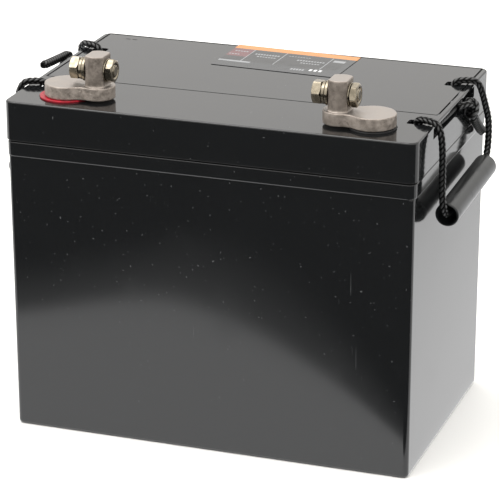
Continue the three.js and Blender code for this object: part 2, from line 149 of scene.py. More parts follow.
# ---- materials ----
def gloss_moulded_abs():
    """Black ABS from a polished mould: a deep, slightly wavy gloss, dulled by handling, with fine
    scratches, pale nicks and dust specks."""
    material, tree = new_material("gloss_moulded_abs")
    sink = pattern(tree, 42, 1.0, seed=0.13)
    smear = ramp(tree, pattern(tree, 34, 3.0, seed=0.31), 0.5, 0.72)
    patch = ramp(tree, pattern(tree, 46, 2.0, seed=0.57), 0.56, 0.68)
    hairline = ramp(tree, pattern(tree, 0.7, 1.0, stretch=(1.0, 1.0, 30.0), seed=0.71), 0.74, 0.79)
    speck = ramp(tree, pattern(tree, 1.3, 0.0, seed=0.93), 0.84, 0.88)
    marks = combine(tree, combine(tree, hairline, patch), speck, "MAXIMUM")
    faint = combine(tree, marks, 0.35)
    colour = blend_colours(tree, faint, "#141516", "#6a6d6e")
    rough = combine(tree, combine(tree, smear, 0.05), 0.085, "ADD")
    rough = combine(tree, rough, combine(tree, marks, 0.25), "ADD")
    close_material(tree, {"Base Color": colour, "Roughness": rough, "IOR": 1.53}, sink, 0.03)
    return material


def cast_lead_alloy():
    """Tinned lead alloy from a gravity mould: dull and warm, blotched where it cooled, with pits down its
    sides.
    Its colour holds painted light: faces that look up are painted pale as a highlight, side faces painted
    darker as shade, partly in stain-like blotches, and the post's sides darker still as painted shade."""
    material, tree = new_material("cast_lead_alloy")
    blotch = ramp(tree, pattern(tree, 6.5, 4.0, 0.6, seed=0.2), 0.36, 0.66)
    stain_and_shade = ramp(tree, pattern(tree, 2.4, 3.0, 0.6, seed=0.5), 0.55, 0.72)
    pit = ramp(tree, pattern(tree, 1.1, 2.0, 0.5, seed=0.8), 0.66, 0.76)
    facing = add_node(tree, "ShaderNodeNewGeometry").outputs["Normal"]
    up = add_node(tree, "ShaderNodeSeparateXYZ", {}, {0: facing}).outputs["Z"]
    facing_up = ramp(tree, up, 0.75, 0.95)
    side = combine(tree, 1.0, facing_up, "SUBTRACT")
    colour = blend_colours(tree, blotch, "#8b827a", "#aaa097")
    # Painted shade: side faces are darker, in blotches that are partly stains.
    colour = blend_colours(tree, combine(tree, stain_and_shade, combine(tree, side, 0.55)), colour, "#5c544c")
    place = add_node(tree, "ShaderNodeTexCoord").outputs["Object"]
    height = add_node(tree, "ShaderNodeSeparateXYZ", {}, {0: place}).outputs["Z"]
    foot_top = (LID_TOP + 9.5) * MM
    # Painted shade: the post's side faces, above the foot, are darker still.
    upright = combine(tree, side, ramp(tree, height, foot_top, foot_top + 2 * MM))
    colour = blend_colours(tree, combine(tree, upright, 0.5), colour, "#5c544c")
    colour = blend_colours(tree, combine(tree, combine(tree, pit, side), 0.5), colour, "#4a443e")
    # Painted highlight: faces that look up are painted pale.
    colour = blend_colours(tree, combine(tree, facing_up, 0.8), colour, "#a29b95")
    bare = combine(tree, combine(tree, facing_up, 0.25), 0.6, "ADD")
    rough = combine(tree, combine(tree, blotch, 0.14), 0.36, "ADD")
    relief = combine(tree, combine(tree, pit, side), -1.0)
    relief = combine(tree, relief, pattern(tree, 0.5, 2.0, seed=0.3), "ADD")
    close_material(tree, {"Base Color": colour, "Metallic": bare, "Roughness": rough}, relief, 0.05)
    return material


def zinc_plated_steel():
    """Forged steel with bright yellowish zinc: smooth, with small handling dents and duller patches."""
    material, tree = new_material("zinc_plated_steel")
    cloud = ramp(tree, pattern(tree, 3.5, 3.0, seed=0.4), 0.4, 0.65)
    dent = pattern(tree, 1.6, 1.0, seed=0.6)
    colour = blend_colours(tree, cloud, "#99907f", "#81796a")
    rough = combine(tree, combine(tree, cloud, 0.1), 0.18, "ADD")
    close_material(tree, {"Base Color": colour, "Metallic": 1.0, "Roughness": rough}, dent, 0.005)
    return material


def moulded_rubber(name, dark, light, rough):
    """A moulded sealing ring: matt, with a fine bloom on its skin."""
    material, tree = new_material(name)
    bloom = ramp(tree, pattern(tree, 2.2, 3.0, seed=0.1), 0.35, 0.7)
    colour = blend_colours(tree, bloom, dark, light)
    close_material(tree, {"Base Color": colour, "Roughness": rough}, pattern(tree, 0.5, 2.0), 0.02)
    return material


def braided_polypropylene():
    """Black polypropylene yarn in an eight-strand plait: fine filaments run along each strand, which is
    shinier on its crown.
    Its colour holds painted light and shade: the crowns painted lighter, the gaps between strands painted
    near black."""
    material, tree = new_material("braided_polypropylene")
    phase = add_node(tree, "ShaderNodeAttribute", {"attribute_name": "phase"}).outputs["Fac"]
    crown = add_node(tree, "ShaderNodeAttribute", {"attribute_name": "crown"}).outputs["Fac"]
    # Seven filaments to a strand, coarser than real ones, so that they show.
    filament = combine(tree, phase, 2 * math.pi * 7)
    filament = add_node(tree, "ShaderNodeMath", {"operation": "SINE"}, {0: filament}).outputs[0]
    fuzz = pattern(tree, 0.7, 3.0, 0.7, seed=0.25)
    top = ramp(tree, crown, 0.5, 1.0)
    # Painted light and shade: strand crowns lighter, the gaps between strands near black.
    lit = combine(tree, top, ramp(tree, fuzz, 0.25, 0.7))
    colour = blend_colours(tree, lit, "#040404", "#1c1e1f")
    height = combine(tree, combine(tree, filament, 0.35), fuzz, "ADD")
    shine = combine(tree, combine(tree, top, 0.85), 0.05, "ADD")
    close_material(tree, {"Base Color": colour, "Roughness": 0.3, "Specular IOR Level": shine}, height, 0.07)
    return material


def extruded_tube_plastic():
    """Black plastic tube as it left the die: satin, with faint lengthwise lines and rubbed patches."""
    material, tree = new_material("extruded_tube_plastic")
    line = pattern(tree, 0.8, 2.0, stretch=(1.0, 60.0, 1.0), seed=0.45)
    rub = ramp(tree, pattern(tree, 9, 3.0, seed=0.65), 0.5, 0.7)
    colour = blend_colours(tree, rub, "#121415", "#1d2021")
    rough = combine(tree, combine(tree, rub, 0.1), 0.3, "ADD")
    close_material(tree, {"Base Color": colour, "Roughness": rough}, line, 0.02)
    return material


def printed_film(name, ink, worn):
    """Ink under a satin clear film: even colour, with slight fading and film grain."""
    material, tree = new_material(name)
    fade = ramp(tree, pattern(tree, 7, 4.0, seed=0.15), 0.45, 0.75)
    colour = blend_colours(tree, combine(tree, fade, 0.5), ink, worn)
    rough = combine(tree, combine(tree, fade, 0.08), 0.2, "ADD")
    close_material(tree, {"Base Color": colour, "Roughness": rough}, pattern(tree, 1.2, 2.0), 0.01)
    return material


def pasted_plate(name, dark, light):
    """Lead paste pressed into a cast grid: matt and grainy, with the grid's bars just showing."""
    material, tree = new_material(name)
    place = add_node(tree, "ShaderNodeTexCoord").outputs["Object"]
    bars = add_node(
        tree,
        "ShaderNodeTexBrick",
        {"offset": 0.5},
        {
            "Vector": place,
            "Scale": per(11),
            "Mortar Size": 0.06,
            "Color1": linear(dark),
            "Color2": linear(light),
            "Mortar": linear("#8c8c8c"),
        },
    )
    grain = pattern(tree, 1.3, 4.0, 0.7)
    colour = blend_colours(tree, combine(tree, grain, 0.5), bars.outputs["Color"], dark)
    close_material(tree, {"Base Color": colour, "Roughness": 0.85}, grain, 0.15)
    return material


def absorbent_glass_mat():
    """White glass fibre felt: matt, fibrous, a little uneven in thickness."""
    material, tree = new_material("absorbent_glass_mat")
    fibre = pattern(tree, 0.9, 5.0, 0.75, stretch=(1.0, 5.0, 1.0))
    colour = blend_colours(tree, fibre, "#c9c9c2", "#ecece6")
    close_material(tree, {"Base Color": colour, "Roughness": 0.95}, fibre, 0.2)
    return material


# ---- finishing a piece ----
def mesh_object(name, points, faces):
    mesh = bpy.data.meshes.new(name)
    mesh.from_pydata([tuple(p) for p in points], [], faces)
    made = bpy.data.objects.new(name, mesh)
    scene.collection.objects.link(made)
    return made


def settle(piece):
    """Makes a piece's modifiers part of its mesh."""
    seen = piece.evaluated_get(bpy.context.evaluated_depsgraph_get())
    mesh = bpy.data.meshes.new_from_object(seen)
    piece.modifiers.clear()
    piece.data = mesh
    mesh.name = piece.name


def finish_piece(piece, materials, body, nodes=(), sharp=40, flats=False):
    """Scales, shades and paints a piece, seats it on its body and lets it stand for its CAD nodes.
    flats keeps flat faces even right up to their rounded edges."""
    piece.data.transform(Matrix.Scale(MM, 4))
    piece.data.shade_smooth()
    piece.data.set_sharp_from_angle(angle=math.radians(sharp))
    if flats:
        even = piece.modifiers.new("even", "WEIGHTED_NORMAL")
        even.weight = 100
        even.keep_sharp = True
        settle(piece)
    piece.data.materials.clear()
    for material in materials if isinstance(materials, (list, tuple)) else [materials]:
        piece.data.materials.append(material)
    if body is not None:
        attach(piece, body)
    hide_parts(*nodes)
    return piece


def skin(rings, closed=False):
    """Points and faces of a surface through rings of equal count, closed round on itself or capped."""
    count = len(rings[0])
    points = [p for ring in rings for p in ring]
    faces = []
    last = len(rings) if closed else len(rings) - 1
    for i in range(last):
        a, b = i * count, (i + 1) % len(rings) * count
        faces += [(a + j, a + (j + 1) % count, b + (j + 1) % count, b + j) for j in range(count)]
    if not closed:
        faces.append(tuple(reversed(range(count))))
        faces.append(tuple(range((len(rings) - 1) * count, len(rings) * count)))
    return points, faces


def outward(piece):
    """Turns a closed mesh's faces outwards."""
    work = bmesh.new()
    work.from_mesh(piece.data)
    bmesh.ops.remove_doubles(work, verts=work.verts, dist=1e-4)
    bmesh.ops.recalc_face_normals(work, faces=work.faces)
    work.to_mesh(piece.data)
    work.free()
    return piece


def solid(name, rings, closed=False):
    return outward(mesh_object(name, *skin(rings, closed)))


def carve(piece, cutters, operation="DIFFERENCE"):
    """Cuts the cutters out of a piece, or joins them to it, and removes them."""
    for cutter in cutters:
        step = piece.modifiers.new("carve", "BOOLEAN")
        step.operation = operation
        step.solver = "EXACT"
        step.object = cutter
    settle(piece)
    for cutter in cutters:
        bpy.data.objects.remove(cutter)
    return piece


def soften(piece, width, segments=2, angle=50):
    """Rounds the sharp edges a little."""
    step = piece.modifiers.new("soften", "BEVEL")
    step.width = width
    step.segments = segments
    step.limit_method = "ANGLE"
    step.angle_limit = math.radians(angle)
    settle(piece)
    return piece


# ---- the moulded case ----
def rounded_outline(half_x, half_y, corner, z, centre_y=0.0, steps=9):
    points = []
    for quarter, (sx, sy) in enumerate(((1, 1), (-1, 1), (-1, -1), (1, -1))):
        for step in range(steps + 1):
            turn = math.pi / 2 * (quarter + step / steps)
            x = sx * (half_x - corner) + corner * math.cos(turn)
            y = sy * (half_y - corner) + corner * math.sin(turn)
            points.append((x, y + centre_y, z))
    return points


def edge_steps(radius, steps=5):
    """Inset and rise of a rounded edge, from its flat to its side."""
    turns = [math.pi / 2 * i / steps for i in range(steps + 1)]
    return [(radius * (1 - math.sin(t)), radius * (1 - math.cos(t))) for t in turns]


def block(name, x, y, z, corner=0.3):
    """A cutter box with slightly rounded upright corners."""
    half_x, half_y = (x[1] - x[0]) / 2, (y[1] - y[0]) / 2
    rings = []
    for level in z:
        ring = rounded_outline(half_x, half_y, corner, level, 0.0, 3)
        rings.append([(px + (x[0] + x[1]) / 2, py + (y[0] + y[1]) / 2, pz) for px, py, pz in ring])
    return solid(name, rings)


def disc(name, centre, radius, z, sides=64):
    turns = [2 * math.pi * i / sides for i in range(sides)]
    ring = [(centre[0] + radius * math.cos(t), centre[1] + radius * math.sin(t)) for t in turns]
    return solid(name, [[(x, y, level) for x, y in ring] for level in z])


def cell_rooms(z):
    """Cutters for the six cells, from one height to another."""
    middles = [CELL_PITCH * (i - 2.5) for i in range(6)]
    y = (-CELL_HALF_Y, CELL_HALF_Y)
    return [block("room", (x - CELL_HALF_X, x + CELL_HALF_X), y, z) for x in middles]


def make_container(abs_plastic):
    """Container wall by wall: rounded foot, slight draft, and a collar that stands out under the lid."""
    lean = lambda z: 1.4 + 0.65 * (1 - min(z, COLLAR_BOTTOM) / COLLAR_BOTTOM)
    levels = [(lean(0) + inset, 3.2, rise) for inset, rise in edge_steps(2.2)]
    levels += [(lean(z), 3.2, z) for z in (3.0, 45.0, 90.0, 135.0, COLLAR_BOTTOM - 0.8, COLLAR_BOTTOM)]
    levels += [(0.6 + 0.7 * inset, 4.9, COLLAR_BOTTOM + rise) for inset, rise in edge_steps(1.1, 5)]
    top = COLLAR_TOP - SEAM_RELIEF
    levels += [(0.6 + inset, 4.9, top - rise) for inset, rise in reversed(edge_steps(0.7, 4))]
    rings = []
    for inset, corner, z in levels:
        corner = max(corner - max(inset - 2.2, 0), 1.0)
        rings.append(rounded_outline(LID_HALF_X - inset, LID_HALF_Y - inset, corner, z))
    rings += [rounded_outline(127.4, 79.9, 2.0, z) for z in (top, 191.2)]
    piece = carve(solid("case_moulding", rings), cell_rooms((4.0, 192.2)))
    soften(piece, 0.1, 1)
    return finish_piece(piece, abs_plastic, "case", ["case_container"], 60, True)


def rope_hole_cutters(ends, z):
    """Cutters for the rope holes at those ends of the slots, on both sides."""
    cutters = []
    for side in (-1, 1):
        for end in ends:
            x = sorted(side * v for v in ROPE_HOLE_X)
            y = sorted(end * v for v in ROPE_HOLE_Y)
            cutters.append(block("rope_hole", x, y, z, 1.5))
    return cutters


def make_lid(abs_plastic):
    """Lid: rounded upper edge, shallow bed for the cover plate, rope slots through both ends and a
    seat for each terminal's sealing ring."""
    corner = 5.5
    levels = [(inset, LID_BOTTOM + SEAM_RELIEF + rise) for inset, rise in edge_steps(0.2, 2)]
    levels += [(inset, LID_TOP - rise) for inset, rise in reversed(edge_steps(1.1, 6))]
    rings = [rounded_outline(LID_HALF_X - i, LID_HALF_Y - i, corner - i, z) for i, z in levels]
    piece = solid("lid_moulding", rings)
    cutters = [
        block("skirt", (-127.8, 127.8), (-80.3, 80.3), (LID_BOTTOM - 1, 191.6), 3.3),
        block("gallery", (-108.0, 108.0), (-14.0, 75.0), (202.0, LID_TOP + 1)),
    ]
    carve(piece, cutters)
    valves = [((i - 2.5) * VALVE_PITCH, VALVE_Y) for i in range(6)]
    carve(piece, [disc("neck", at, 5.5, (201.0, 207.2), 32) for at in valves], "UNION")
    cutters = cell_rooms((190.6, 197.0))
    cutters += [disc("bore", at, 3.2, (196.0, 208.2), 24) for at in valves]
    half_x, back, front = COVER_HALF_X + 0.7, COVER_BACK + 0.7, COVER_FRONT - 0.7
    bed = (LID_TOP - COVER_THICK - 0.4, LID_TOP + 1)
    cutters.append(block("bed", (-half_x, half_x), (front, back), bed, 1.2))
    for side in (-1, 1):
        at = (side * FOOT_X, TERMINAL_Y)
        radius, _, shift = SEALS[side]
        cutters.append(disc("pillar_hole", at, 7.4, (196.0, LID_TOP + 1)))
        cutters.append(disc("ring_seat", (at[0] + shift, at[1]), radius + 0.4, (LID_TOP - 0.5, LID_TOP + 1)))
        x = sorted((side * 112.5, side * (LID_HALF_X + 1)))
        cutters.append(block("rope_slot", x, (-46.5, 46.5), (204.9, 211.4)))
    cutters += rope_hole_cutters((-1, 1), (209.4, LID_TOP + 1))
    carve(piece, cutters)
    soften(piece, 0.14, 2)
    return finish_piece(piece, abs_plastic, "case", ["lid"], 60, True)


def make_cover_plate(abs_plastic):
    """Flush cover over the valves, with two vent slits at its back corner."""
    middle, half_y = (COVER_FRONT + COVER_BACK) / 2, (COVER_BACK - COVER_FRONT) / 2 - 0.4
    levels = [(0.0, LID_TOP - COVER_THICK)]
    levels += [(inset, LID_TOP - rise) for inset, rise in reversed(edge_steps(0.18, 2))]
    rings = [rounded_outline(COVER_HALF_X - 0.4 - i, half_y - i, 1.0 - i, z, middle) for i, z in levels]
    piece = solid("cover_plate_moulding", rings)
    cutters = rope_hole_cutters((1,), (LID_TOP - 3, LID_TOP + 1))
    for x in (-110.0, -105.5):
        cutters.append(block("vent_slit", (x - 1.6, x + 1.6), (71.3, 72.3), (LID_TOP - 3, LID_TOP + 1)))
    carve(piece, cutters)
    soften(piece, 0.1, 2)
    return finish_piece(piece, abs_plastic, "case", ["vent_cover_plate"], 60, True)


def label_fields():
    """Printed fields of the label about its middle: x and y from and to, and an ink. Later ones print
    over earlier ones. All marks are blank blocks, with no lettering."""
    grey, dark, pale, orange, red, white = range(6)
    fields = [
        (-41.75, 41.75, -24.2, 24.2, grey),
        (-41.4, 37.4, -11.2, 15.8, dark),
        (-41.4, -27.4, -1.0, 15.8, red),
        (-41.75, 41.75, 16.2, 24.2, orange),
        (-41.4, -20.0, -13.6, -10.8, pale),
        (28.6, 36.4, 7.2, 11.6, pale),
    ]
    fields += [(x, x + 0.6, -11.2, 15.8, pale) for x in (-27.4, -5.4, 26.2)]
    rows = [(-39.0, -31.0, 9.4, 11.2), (-40.4, -34.0, 2.4, 3.8)]
    rows += [(-24.0, -8.0, 6.2, 8.6), (-21.0, -9.0, 1.6, 3.2)]
    rows += [(-2.0, 12.0, 10.0, 11.0), (6.0, 24.0, 2.6, 4.8)]
    rows += [(10.0, 22.0, -2.2, -0.4), (9.0, 18.0, -17.6, -14.6)]
    fields += [(x, x + 1.3, y0, y1, pale) for x0, x1, y0, y1 in rows for x in np.arange(x0, x1, 1.9)]
    fields += [(x, x + 1.8, -16.4, -12.6, white) for x in (21.0, 24.2, 27.4)]
    return fields


def make_label(inks):
    """Film label: one sheet cut along its printed fields, each field its own ink."""
    fields = label_fields()
    across = sorted({x for field in fields for x in field[:2]})
    up = sorted({y for field in fields for y in field[2:4]})
    count = len(across)
    turn = Matrix.Translation((4.25, 56.2, 0)) @ Matrix.Rotation(math.radians(-2.5), 4, "Z")
    points = [turn @ Vector((x, y, LID_TOP + 0.3)) for y in up for x in across]
    cells = [(i, j) for j in range(len(up) - 1) for i in range(count - 1)]
    corners = [j * count + i for i, j in cells]
    faces = [(c, c + 1, c + count + 1, c + count) for c in corners]
    piece = mesh_object("printed_label", points, faces)
    for face, (i, j) in zip(piece.data.polygons, cells):
        x, y = (across[i] + across[i + 1]) / 2, (up[j] + up[j + 1]) / 2
        face.material_index = [f[4] for f in fields if f[0] < x < f[1] and f[2] < y < f[3]][-1]
    step = piece.modifiers.new("film", "SOLIDIFY")
    step.thickness = 0.2
    step.offset = -1
    settle(piece)
    indices = [face.material_index for face in piece.data.polygons]
    finish_piece(piece, inks, "case", ["top_label"], 30)
    piece.data.polygons.foreach_set("material_index", indices)
    return piece


# ---- terminals ----
def foot_outline(inset):
    """Big lobe at the origin and toe along +X, with a slight waist on either side."""
    heel_r, toe_r, waist_r = 14.0, 10.5, 10.0
    to_heel, to_toe = heel_r + waist_r, toe_r + waist_r
    waist_x = (to_heel**2 - to_toe**2 + TOE_REACH**2) / (2 * TOE_REACH)
    waist_y = math.sqrt(to_heel**2 - waist_x**2)
    heel, toe = math.atan2(waist_y, waist_x), math.atan2(waist_y, waist_x - TOE_REACH)

    def arc(x, y, radius, start, end, steps):
        turns = [start + (end - start) * i / steps for i in range(steps)]
        return [(x + radius * math.cos(t), y + radius * math.sin(t)) for t in turns]

    points = arc(0, 0, heel_r - inset, heel, 2 * math.pi - heel, 40)
    points += arc(waist_x, -waist_y, waist_r + inset, math.pi - heel, math.pi - toe, 6)
    points += arc(TOE_REACH, 0, toe_r - inset, -toe, toe, 30)
    points += arc(waist_x, waist_y, waist_r + inset, toe - math.pi, heel - math.pi, 6)
    return points


def post_outline(grow):
    """A round bar with two flats that face along X."""
    radius, flat = 8.5 + grow, 6.0 + grow
    turns = [2 * math.pi * i / 72 for i in range(72)]
    return [(max(-flat, min(flat, radius * math.cos(t))), radius * math.sin(t)) for t in turns]


def make_terminal(pole, side, lead):
    """Cast terminal: foot, post and bolt hole run together as one casting, then roughened by the mould
    everywhere, and far less on the tops that face up."""
    foot_levels = [(0.4, 1.3), (0.1, 1.55), (0.0, 1.9), (0.0, 8.75), (0.12, 9.1), (0.4, 9.25)]
    rings = [[(x, y, z) for x, y in foot_outline(inset)] for inset, z in foot_levels]
    piece = solid(f"{pole}_terminal_casting", rings)
    post_levels = [(0.0, 3.0), (0.6, 9.1), (0.25, 9.5), (0.05, 10.0), (0.0, 10.6)]
    post_levels += [(0.0, 27.6), (-0.15, 28.05), (-0.45, 28.25), (-2.0, 28.35)]
    rings = [[(x + TOE_REACH, y, z) for x, y in post_outline(grow)] for grow, z in post_levels]
    carve(piece, [solid("post", rings)], "UNION")
    turns = [2 * math.pi * i / 48 for i in range(48)]
    bore, height = 4.4, BOLT_Z - LID_TOP
    hole = [[(x, bore * math.cos(t), height + bore * math.sin(t)) for t in turns] for x in (8.0, 32.0)]
    carve(piece, [solid("hole", hole)])
    fine = piece.modifiers.new("casting", "REMESH")
    fine.mode = "VOXEL"
    fine.voxel_size = 0.32
    ease = piece.modifiers.new("ease", "SMOOTH")
    ease.factor = 0.5
    ease.iterations = 2
    settle(piece)
    normals = [vertex.normal.copy() for vertex in piece.data.vertices]
    for vertex, normal in zip(piece.data.vertices, normals):
        place = vertex.co + Vector((side * 40.0, 0, 0))
        swell = 0.1 * noise.noise(place / 3.1) + 0.07 * noise.noise(place / 1.2)
        vertex.co += normal * swell * (1 - 0.85 * max(0.0, normal.z))
    turn = Matrix.Rotation(math.pi if side > 0 else 0.0, 4, "Z")
    piece.data.transform(Matrix.Translation((side * FOOT_X, TERMINAL_Y, LID_TOP)) @ turn)
    return finish_piece(piece, lead, "case", [f"{pole}_terminal"], 60)


def ring_tree():
    """Geometry nodes for a turned ring about X: a washer or a seal, from its radii, thickness and the
    rounding of its edges."""
    tree = bpy.data.node_groups.new("turned_ring", "GeometryNodeTree")
    sizes = ("Inner radius", "Outer radius", "Thickness", "Rounding", "Start")
    for name in sizes:
        tree.interface.new_socket(name, in_out="INPUT", socket_type="NodeSocketFloat")
    tree.interface.new_socket("Finish", in_out="INPUT", socket_type="NodeSocketMaterial")
    tree.interface.new_socket("Geometry", in_out="OUTPUT", socket_type="NodeSocketGeometry")
    given = add_node(tree, "NodeGroupInput").outputs
    inner, outer, thick = given["Inner radius"], given["Outer radius"], given["Thickness"]
    middle = combine(tree, combine(tree, inner, outer, "ADD"), 0.5)
    width = combine(tree, outer, inner, "SUBTRACT")
    path = add_node(tree, "GeometryNodeCurvePrimitiveCircle", {}, {"Resolution": 64, "Radius": middle})
    section = add_node(tree, "GeometryNodeCurvePrimitiveQuadrilateral", {}, {"Width": width, "Height": thick})
    section = add_node(
        tree,
        "GeometryNodeFilletCurve",
        {"mode": "POLY"},
        {"Curve": section.outputs[0], "Count": 3, "Radius": given["Rounding"]},
    )
    swept = add_node(
        tree, "GeometryNodeCurveToMesh", {}, {"Curve": path.outputs[0], "Profile Curve": section.outputs[0]}
    )
    shift = combine(tree, given["Start"], combine(tree, thick, 0.5), "ADD")
    offset = add_node(tree, "ShaderNodeCombineXYZ", {}, {"X": shift})
    turned = add_node(
        tree,
        "GeometryNodeTransform",
        {},
        {"Geometry": swept.outputs[0], "Translation": offset.outputs[0], "Rotation": (0.0, math.pi / 2, 0.0)},
    )
    real = add_node(tree, "GeometryNodeRealizeInstances", {}, {"Geometry": turned.outputs[0]})
    painted = add_node(
        tree, "GeometryNodeSetMaterial", {}, {"Geometry": real.outputs[0], "Material": given["Finish"]}
    )
    add_node(tree, "NodeGroupOutput", {}, {"Geometry": painted.outputs[0]})
    return tree


def ring(tree, name, material, inner, outer, thick, rounding, start):
    piece = mesh_object(name, [], [])
    maker = piece.modifiers.new("ring", "NODES")
    maker.node_group = tree
    values = {
        "Inner radius": inner,
        "Outer radius": outer,
        "Thickness": thick,
        "Rounding": rounding,
        "Start": start,
        "Finish": material,
    }
    for item in tree.interface.items_tree:
        if item.in_out == "INPUT":
            maker[item.identifier] = values[item.name]
    settle(piece)
    return outward(piece)


def hex_reach(turn, corner):
    """Distance from the axis to a hexagon's side at that turn."""
    return HEX_FLATS / 2 / math.cos(math.radians((turn - corner) % 60 - 30))


def around_x(radius_at, x_at):
    """A ring of 72 points about X; turn 0 faces the front."""
    turns = [5.0 * i for i in range(72)]
    return [
        (x_at(t), -radius_at(t) * math.cos(math.radians(t)), radius_at(t) * math.sin(math.radians(t)))
        for t in turns
    ]


def round_ring(radius, x):
    return around_x(lambda t: radius, lambda t: x)


def hex_rings(x0, x1, corner, flat_radius):
    """Six-sided body between two faces, with both ends turned off to a 30 degree cone."""
    drop = lambda t: max(0.0, (hex_reach(t, corner) - flat_radius) / math.sqrt(3))
    reach = lambda t: hex_reach(t, corner)
    return [
        around_x(lambda t: min(reach(t), flat_radius), lambda t: x0),
        around_x(reach, lambda t: x0 + drop(t)),
        around_x(reach, lambda t: x1 - drop(t)),
        around_x(lambda t: min(reach(t), flat_radius), lambda t: x1),
    ]


def make_bolt(pole, at, corner, steel):
    """Hex bolt: chamfered head with a shallow dished face, and a shank threaded to its end."""
    rings = [round_ring(3.0, -15.75), round_ring(4.4, -15.9), round_ring(5.3, -16.25)]
    rings += hex_rings(-16.25, -10.45, corner, 6.2)
    rings += [round_ring(4.2, -10.45), round_ring(3.95, -10.1), round_ring(3.95, 2.0)]
    depth = 0.62
    for x in np.arange(2.2, 11.4, 0.18):
        ridge = lambda t, x=x: 3.98 - depth * abs(2 * ((x / SCREW_PITCH - t / 360) % 1) - 1)
        rings.append(around_x(ridge, lambda t, x=x: x))
    rings += [round_ring(3.5, 11.65), round_ring(3.0, 11.88)]
    rings += [round_ring(2.2, 11.9), round_ring(1.2, 11.75)]
    piece = solid(f"{pole}_hex_bolt", rings)
    piece.data.transform(Matrix.Translation(at))
    return finish_piece(piece, steel, "case", [f"{pole}_bolt"], 32, True)


def make_nut(pole, at, corner, steel):
    """Hex nut, chamfered at both ends, with a clear bore."""
    rings = [round_ring(4.9, 7.1), *hex_rings(7.1, 11.5, corner, 6.1), round_ring(5.0, 11.5)]
    rings += [round_ring(4.15, 10.7), round_ring(4.15, 7.8)]
    piece = solid(f"{pole}_hex_nut", rings, closed=True)
    piece.data.transform(Matrix.Translation(at))
    return finish_piece(piece, steel, f"{pole}_nut", [f"{pole}_nut"], 32, True)


def make_spring_washer(pole, at, steel):
    """Split ring wound as one turn of a helix, with its gap at the top."""
    section = [(4.4, -0.8), (4.5, -0.9), (6.7, -0.9), (6.85, -0.75)]
    section += [(r, -x) for r, x in reversed(section)]
    rings = []
    for i in range(89):
        turn = math.radians(94 + 352 * i / 88)
        lift = 0.3 * (i / 88 - 0.5)
        rings.append([(-9.2 + lift + x, r * math.cos(turn), r * math.sin(turn)) for r, x in section])
    piece = solid(f"{pole}_lock_washer", rings)
    piece.data.transform(Matrix.Translation(at))
    return finish_piece(piece, steel, "case", [f"{pole}_spring_washer"], 32, True)


def make_hardware(tree, pole, side, corners, steel, seal):
    """Bolt, washers and nut of one terminal, and the sealing ring under its foot."""
    at = Vector((side * (FOOT_X - TOE_REACH), TERMINAL_Y, BOLT_Z))
    make_bolt(pole, at, corners[0], steel)
    make_nut(pole, at, corners[1], steel)
    make_spring_washer(pole, at, steel)
    stack = (
        ("flat_washer", -7.95, 1.8, 7.6, "case"),
        ("nut_washer", 6.15, 0.8, 7.2, f"{pole}_nut_washer"),
    )
    for name, start, thick, outer, body in stack:
        piece = ring(tree, f"{pole}_{name}_ring", steel, 4.3, outer, thick, 0.3, start)
        piece.data.transform(Matrix.Translation(at))
        finish_piece(piece, steel, body, [f"{pole}_{name}"], 50, True)
    radius, bore, shift = SEALS[side]
    piece = ring(tree, f"{pole}_gasket", seal, bore, radius, 1.2, 0.25, -0.2)
    place = Matrix.Translation((side * FOOT_X + shift, TERMINAL_Y, LID_TOP))
    upright = place @ Matrix.Rotation(-math.pi / 2, 4, "Y")
    piece.data.transform(upright)
    finish_piece(piece, seal, "case", [f"{pole}_seal_ring"], 40)


# ---- rope handles ----
def smooth_line(points, spacing):
    """Points that far apart on a smooth curve through the given ones."""
    p = np.array(points, float)
    p = np.vstack([2 * p[0] - p[1], p, 2 * p[-1] - p[-2]])
    t = np.linspace(0, 1, 24, endpoint=False)[:, None]
    fine = []
    for a, b, c, d in zip(p, p[1:], p[2:], p[3:]):
        bend, twist = 2 * a - 5 * b + 4 * c - d, 3 * b - a - 3 * c + d
        fine.append(0.5 * (2 * b + (c - a) * t + bend * t**2 + twist * t**3))
    fine = np.vstack([*fine, p[-2:-1]])
    run = np.concatenate([[0], np.cumsum(np.linalg.norm(np.diff(fine, axis=0), axis=1))])
    even = np.linspace(0, run[-1], int(run[-1] / spacing) + 1)
    return np.column_stack([np.interp(even, run, fine[:, k]) for k in range(3)])


def side_vectors(line):
    """Two directions square to the line at each point, carried along it without twist."""
    along = np.gradient(line, axis=0)
    along /= np.linalg.norm(along, axis=1)[:, None]
    side = np.cross(along[0], (0.31, 0.17, 0.93))
    sides = []
    for t in along:
        side = side - side.dot(t) * t
        side = side / np.linalg.norm(side)
        sides.append(side)
    sides = np.array(sides)
    return sides, np.cross(along, sides)


